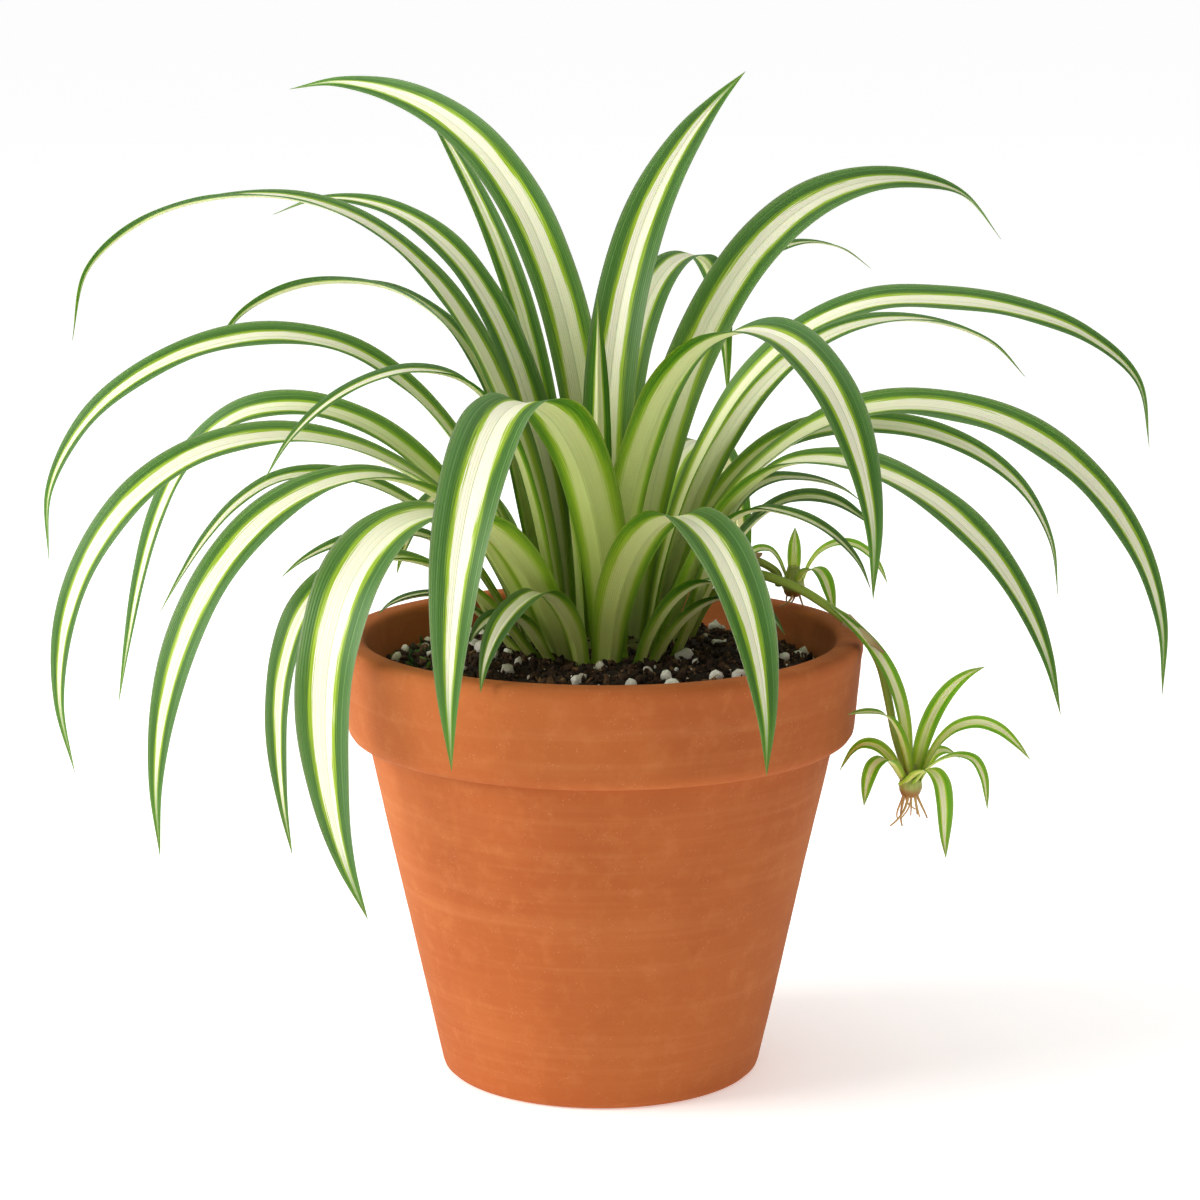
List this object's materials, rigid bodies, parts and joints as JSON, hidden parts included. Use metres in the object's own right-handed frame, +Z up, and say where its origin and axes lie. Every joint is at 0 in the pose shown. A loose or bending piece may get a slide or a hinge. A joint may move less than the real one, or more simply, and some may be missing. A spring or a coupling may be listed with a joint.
{
  "type": "potted spider plant",
  "caption": "Variegated spider plant in a plain clay pot: long arching striped leaves rise from a crown in potting soil, with small plantlets on runners over the rim.",
  "frame": {"origin": "under the middle of the pot, on the surface that the pot stands on; the bottom centre of the whole plant's box to within its tolerance", "axes": "+Z up, +X to the plant's right, where its front plantlet hangs over the rim, and -Y towards its front"},
  "size_m": [0.3345, 0.2551, 0.303],
  "materials": {
    "clay": "matte fired clay, unglazed, with fine pale specks",
    "soil": "moist dark potting mix with bark crumbs and white perlite grains",
    "leaf": "satin leaf, green margins and a cream-white middle stripe with fine parallel veins",
    "stem": "satin olive-green stem, browner at its collars and roots"
  },
  "bodies": {
    "root": {"pot": "clay", "soil": "soil", "crown": "stem", "leaf_back_1": "leaf", "leaf_back_2": "leaf", "leaf_back_3": "leaf", "leaf_back_4": "leaf", "leaf_front_1": "leaf", "leaf_front_2": "leaf", "leaf_front_3": "leaf", "leaf_front_4": "leaf", "leaf_front_5": "leaf", "leaf_front_6": "leaf", "leaf_front_7": "leaf", "leaf_left_1": "leaf", "leaf_left_10": "leaf", "leaf_left_11": "leaf", "leaf_left_12": "leaf", "leaf_left_2": "leaf", "leaf_left_3": "leaf", "leaf_left_4": "leaf", "leaf_left_5": "leaf", "leaf_left_6": "leaf", "leaf_left_7": "leaf", "leaf_left_8": "leaf", "leaf_left_9": "leaf", "leaf_rear_hook": "leaf", "leaf_right_1": "leaf", "leaf_right_10": "leaf", "leaf_right_11": "leaf", "leaf_right_2": "leaf", "leaf_right_3": "leaf", "leaf_right_4": "leaf", "leaf_right_5": "leaf", "leaf_right_6": "leaf", "leaf_right_7": "leaf", "leaf_right_8": "leaf", "leaf_right_9": "leaf", "leaf_upright_left": "leaf", "leaf_upright_left_rear": "leaf", "leaf_upright_right": "leaf", "plantlet_back_crown": "stem", "plantlet_back_leaf_1": "leaf", "plantlet_back_leaf_2": "leaf", "plantlet_back_leaf_3": "leaf", "plantlet_back_leaf_4": "leaf", "plantlet_front_crown": "stem", "plantlet_front_leaf_1": "leaf", "plantlet_front_leaf_2": "leaf", "plantlet_front_leaf_3": "leaf", "plantlet_front_leaf_4": "leaf", "plantlet_front_leaf_5": "leaf", "plantlet_front_leaf_6": "leaf", "plantlet_front_leaf_7": "leaf", "plantlet_front_leaf_8": "leaf", "plantlet_front_leaf_9": "leaf", "runner_back": "stem", "runner_front": "stem", "young_leaf_middle": "leaf", "young_spear": "leaf"}
  },
  "joints": []
}
